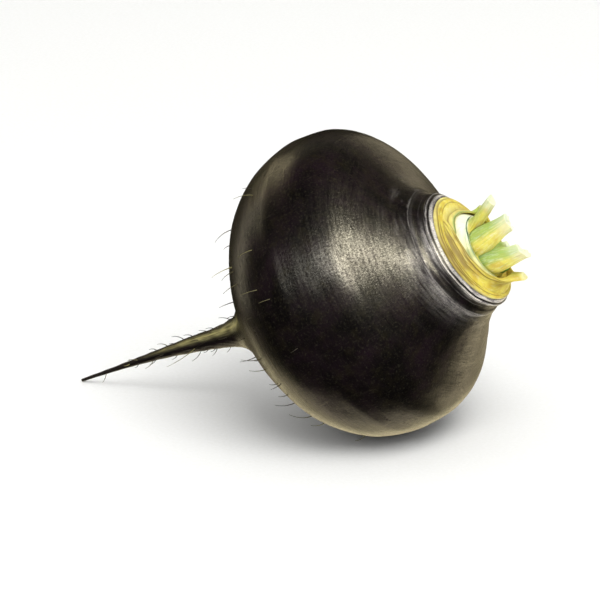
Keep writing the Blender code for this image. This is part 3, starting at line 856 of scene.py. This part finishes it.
def claspingLeaf(name, form, f, made, slot):
    # Outer and inner faces on a grid of u, across the foot from one free edge to the other, by height. The wall is
    # edge + (thickness - edge) * sqrt(1 - |u|^3). Folds follow the foot's upper edge at set depths below it.
    rows = curveThrough(form["rows"], f["steps"])
    sunk = rows[:1].copy()
    sunk[0, 0] = f["sunkRow"][0]
    sunk[0, 1] += f["sunkRow"][1]
    rows = np.vstack([sunk, rows])
    height, radius, clockwise, otherWay, thick = (rows[:, k:k + 1] for k in range(5))
    u = np.sin(np.linspace(-1, 1, f["across"]) * math.pi / 2)[None, :]
    turned = np.where(u < 0, -u * clockwise, u * otherWay)
    angle = np.radians(form["azimuth"] + np.sign(u) * turned)
    rim = np.where(u < 0, rimHeight(clockwise[1:, 0], height[1:, 0], turned),
                   rimHeight(otherWay[1:, 0], height[1:, 0], turned))
    spots = crownPoint(radius, angle, height)
    arc = angle * radius
    toSide = (np.where(u < 0, clockwise, otherWay) - turned) * math.pi / 180 * radius
    toTop = np.maximum(rim - height, 0)
    toEdge = toSide * toTop / np.maximum(np.hypot(toSide, toTop), 1e-6)
    low, high = form["stalkFrom"]
    onStalk = smoothStep(low, high, height + 0.18 * swell(spots, 3, 14))
    foot = 1 - onStalk
    around = np.degrees(np.arctan2(np.sin(angle), np.cos(angle))) % 360
    folds = np.zeros(spots.shape[:2])
    here = f["foldLeast"] + f["foldMore"] * hump(around, *f["foldAt"])
    for n, (down, wide, strong) in enumerate(form["folds"]):
        wander = down + 0.16 * swell(spots, 9, 50 + n) + 0.06 * swell(spots, 3, 70 + n)
        strength = strong * here * smoothStep(-0.6, 0.5, swell(spots * (1, 1, 0.2), 17, 90 + n))
        # Each fold: a brown line, with painted shade spread on one side of it
        shade = hump(height - rim, wander, wide) + 0.35 * hump(height - rim, wander - 1.8 * wide, 3 * wide)
        folds += strength * shade
    stain = f["stain"] * here * smoothStep(0.1, 0.9, swell(spots * (1, 1, 0.4), 5.5, 95))
    ribs = f["ribDepth"] * onStalk * np.cos(f["ribs"] * math.pi * u) * (1 - u ** 4)
    softEdge = f["softEdge"] * (1 - smoothStep(0, 0.5, toEdge)) * foot
    bulge = f["bulge"] * swell(spots, 5, 12) * foot
    slipFrom, slipTo, slipDepth = f["slip"]
    slip = slipDepth * smoothStep(slipFrom, slipTo, turned) * (u > 0) if form["slipsUnder"] else 0
    skin = radius + bulge - slip - form["stepIn"] * onStalk
    outer = crownPoint(skin - f["foldDepth"] * np.minimum(folds, 1.2) * foot - ribs - softEdge, angle, height)
    wall = f["edge"] + (thick - f["edge"]) * np.sqrt(np.maximum(1 - np.abs(u) ** 3, 0))
    inner = crownPoint(skin - wall, angle, height)
    loop = np.concatenate([outer, inner[:, ::-1]], axis=1)
    middle = crownPoint(radius - thick / 2, math.radians(form["azimuth"]), height)[..., 0]
    upSlope = -(loop[..., 0] - middle) / np.maximum(thick, 1.6)
    up = (height - high) / (height.max() - high)

    def both(outside, inside):
        return np.concatenate([np.broadcast_to(outside, spots.shape[:2]),
                               np.broadcast_to(inside, spots.shape[:2])[:, ::-1]], axis=1)

    greenRim, paleRim, edgeShadowLine = form["rim"]
    paleHere, edgeShadowHere = mostNear(around, *f["paleAt"]), mostNear(around, *f["edgeShadowAt"])
    edge = hump(toEdge, 0, f["edgeWide"]) * foot
    # Where the painted shadow line lies: along the foot's free edge, and at the step where the stalk steps in
    line = hump(toEdge, 0, f["lineWide"]) * foot + hump(height, low, f["stepWide"]) * (form["stepIn"] > 0)
    toBand = np.where(form["stepIn"] > 0, np.clip(np.minimum(rim, low) - height, 0, None), toEdge)
    pale = paleRim * paleHere * smoothStep(*f["paleFade"], toBand) * foot
    marks = {
        # Noise runs along the leaf on the stalk and round the crown on the foot; the inner face has its own
        "leafPlace": joined(both(toTop * foot + 6 * u * onStalk, 6 * u + 20),
                            both(arc * foot + height * onStalk, height), 0),
        # Brown folds with painted shade, loose stains, a painted brown shadow line along leaf 1's edge, and painted
        # shade on the inner face
        "foldAndShade": np.clip(both((folds + stain) * foot + form["rimShadowLine"] * line * here, 0.25 * foot), 0, 0.9),
        # Green on the stalk's upper side: partly the stalk's own green, partly painted shade
        "green": both(onStalk, onStalk) * form["greenStalk"] * smoothStep(-0.7, 0.8, upSlope)
                 + both(greenRim * edge, 0.4 * greenRim * foot),
        "pale": np.clip(both(pale, 0.6 * pale) + f["paleTop"] * smoothStep(0.55, 1, both(up, up)), 0, 1),
        # Painted dark green shadow line along the edge and at the step
        "rim": np.clip(both(edgeShadowLine * edgeShadowHere * line, 0), 0, 1),
    }
    loop, marks = closeCut(loop, marks)
    gridObject(name.replace("_", "") + "Leaf", toWorld(loop), made, [name], marks)


for name, form in claspingLeaves.items():
    tissue = (petiole, "pale green stalk") if name == "leaf_stalk_2" else (crownFlesh, "yellow crown flesh")
    claspingLeaf(name, form, leafForm, *tissue)


# Stalks that stand on the crown's top: azimuth, distance from the leaning middle, lean down the slope and away
# in degrees, width, thickness, height of the cut
standing = {
    "leaf_stalk_4": (245, 6.5, -1, 5, 5.4, 3.3, 16.6),
    "leaf_stalk_5": (314, 6.7, 11, 9, 6.4, 3.5, 14.6),
    "leaf_stalk_6": (111, 6.3, -3, 2, 4.6, 2.4, 7.2),
    "leaf_stalk_7": (55, 6.7, 5, 2, 4.6, 2.4, 7.6),
    "leaf_stalk_8": (4, 7.6, 8, 0, 2.8, 1.8, 7),
}
stalkForm = {
    "foot": 3.97, "sunkFoot": 3.2,
    "footWider": 0.52,  # the foot is this share wider than the cut, so that neighbours meet
    "footBend": 8,
    "channel": 0.42,
    "around": 96, "rows": 48,
    "ribs": 9, "ribDepth": 0.08,
    "ragged": 0.26,
    "budNarrows": 0.86,
    "green": 0.85, "pale": 0.5, "foldAndShade": 0.35, "rim": 0.55,  # strongest green on the upper side, partly painted shade; paleness of the cut; painted shade at the foot; painted shadow lines down the sides
}


def standingStalk(name, form, f, made, bud=False):
    # An oval section, grooved on its inner face, carried up a leaning line. Its width falls from 1 + footWider at the
    # foot to 1 at the cut. A bud narrows to a point over its upper half.
    azimuth, distance, leanX, leanY, width, thick, cut = form
    facing = math.radians(azimuth)
    out = np.array([math.cos(facing), math.sin(facing), 0])
    across = np.array([-math.sin(facing), math.cos(facing), 0])
    foot = crownPoint(np.array(distance), np.array(facing), np.array(f["foot"]))
    slope = np.array([math.tan(math.radians(leanX)), math.tan(math.radians(leanY)), 1])
    high = np.linspace(f["sunkFoot"] - f["foot"], cut - f["foot"], f["rows"])[:, None]
    t = np.clip(high / (cut - f["foot"]), 0, 1)
    narrow = 1 - f["budNarrows"] * smoothStep(0.45, 1, t) if bud else 1
    wider = (1 + f["footWider"] * (1 - smoothStep(0.1, 0.95, t))) * narrow
    a = turns(f["around"])
    place = joined(3 * np.cos(a), high, 3 * np.sin(a))
    ribs = f["ribDepth"] * np.cos(f["ribs"] * a + 1.2 * swell(place * (0, 0.2, 0), 4, 15)) * smoothStep(0.05, 0.3, t)
    half, deep = width / 2 * wider - ribs, thick / 2 * wider - ribs
    aside = half * np.sin(a)
    outwards = deep * np.cos(a) - aside ** 2 / (2 * f["footBend"])
    outwards = outwards + np.where(np.cos(a) < 0, f["channel"] * deep * np.exp(-(np.sin(a) / 0.45) ** 2), 0)
    torn = f["ragged"] * (swell(place, 2.2, 16) + 0.5 * np.cos(a)) * smoothStep(0.8, 1, t) * (not bud)
    line = foot + slope * high[..., None]
    loop = line + across * aside[..., None] + out * outwards[..., None] + slope * (torn - f["ragged"] * t)[..., None]
    upSlope = -(loop[..., 0] - line[..., 0]) / (0.5 * width)
    marks = {
        "leafPlace": place,
        # Painted shade at the stalk's foot, where it enters the crown
        "foldAndShade": np.broadcast_to(f["foldAndShade"] * (1 - smoothStep(0, 0.08, t)), loop.shape[:2]),
        # Green on the stalk's upper side: partly the stalk's own green, partly painted shade
        "green": f["green"] * smoothStep(-0.35, 0.75, upSlope + 0.12 * swell(place * (1, 0.3, 1), 2.5, 17)),
        "pale": np.broadcast_to(f["pale"] * smoothStep(0.55, 1, t), loop.shape[:2]),
        # Painted dark green shadow lines down the stalk's sides, low down where neighbours meet
        "rim": f["rim"] * smoothStep(0.86, 1, np.abs(np.sin(a))) * (1 - smoothStep(0, 0.7, t)),
    }
    loop, marks = closeCut(loop, marks)
    gridObject(name.replace("_", "") + "Petiole", toWorld(loop), made, [name], marks)


for name, form in standing.items():
    bud = name == "leaf_stalk_8"
    standingStalk(name, form, stalkForm, youngLeaf if bud else petiole, bud)


# Floor and light

studio = {
    "floorSize": 5000,
    "world": ("#ffffff", 0.78),
    # Name: degrees right of the camera and up, distance, width, height, power, colour
    "lights": {
        "softbox": (24, 56, 1400, 1100, 800, 13, "#ffffff"),
        "brightPanel": (58, 47, 1300, 940, 340, 80, "#fff6da"),
        "middlePanel": (14, 46, 1300, 1200, 460, 40, "#fffaea"),
        "lowPanel": (40, 29, 1300, 900, 260, 3.5, "#fff8e2"),
        "leftPanel": (-42, 24, 1300, 860, 520, 14, "#fffaea"),
        "leftStrip": (-125, 0, 1100, 350, 900, 3.2, "#fff3d4"),
        "tailStrip": (-144, 22, 1200, 500, 350, 2.4, "#ffefc0"),
        "rightStrip": (122, -37, 1100, 560, 440, 3.5, "#ffeec4"),
        "cornerPanel": (150, -26, 1150, 700, 340, 0.9, "#ffeec4"),
        "underPanel": (190, -46, 1200, 1400, 620, 7.2, "#fff0c4"),
        "deepPanel": (-172, -74, 1150, 1150, 460, 4.9, "#fff0d0"),
        "backPanel": (186, 32, 1300, 1500, 500, 0.9, "#fff3dc"),
        "shoulderPanel": (158, 9, 1200, 450, 450, 1, "#fff0cc"),
    },
    "matt": "softbox",  # this one lights matt surfaces alone, and the rest show only as reflections
}


def setStudio(s):
    half = s["floorSize"] / 2 * mm
    mesh = bpy.data.meshes.new("floor")
    mesh.from_pydata([(-half, -half, 0), (half, -half, 0), (half, half, 0), (-half, half, 0)], [], [(0, 1, 2, 3)])
    mesh.materials.append(paleStudioPaper())
    floor = bpy.data.objects.new("floor", mesh)
    bpy.context.scene.collection.objects.link(floor)
    floor.visible_glossy = False  # the wax mirrors the lamps alone, so the underside stays deep black
    world = bpy.data.worlds.new("studio")
    world.use_nodes = True
    glow = world.node_tree.nodes["Background"].inputs
    glow["Color"].default_value = colour(s["world"][0])
    glow["Strength"].default_value = s["world"][1]
    world.cycles_visibility.glossy = False  # the room itself is dark to the skin's reflections
    bpy.context.scene.world = world
    aim = Vector(view["target"]) * mm
    for name, (aside, up, away, wide, high, power, code) in s["lights"].items():
        a, e = view["azimuth"] + math.radians(aside), math.radians(up)
        way = Vector((math.sin(a) * math.cos(e), -math.cos(a) * math.cos(e), math.sin(e)))
        data = bpy.data.lights.new(name, "AREA")
        data.shape = "RECTANGLE"
        data.size, data.size_y = wide * mm, high * mm
        data.energy = power
        data.color = colour(code)[:3]
        lamp = bpy.data.objects.new(name, data)
        lamp.location = aim + way * away * mm
        lamp.rotation_mode = "QUATERNION"
        lamp.rotation_quaternion = way.to_track_quat("Z", "Y")
        lamp.visible_camera = False
        lamp.visible_diffuse = name == s["matt"]
        lamp.visible_glossy = name != s["matt"]
        bpy.context.scene.collection.objects.link(lamp)


setStudio(studio)
bpy.context.scene.view_settings.view_transform = "Standard"  # paper white and skin black as they are
print("floor and light set")
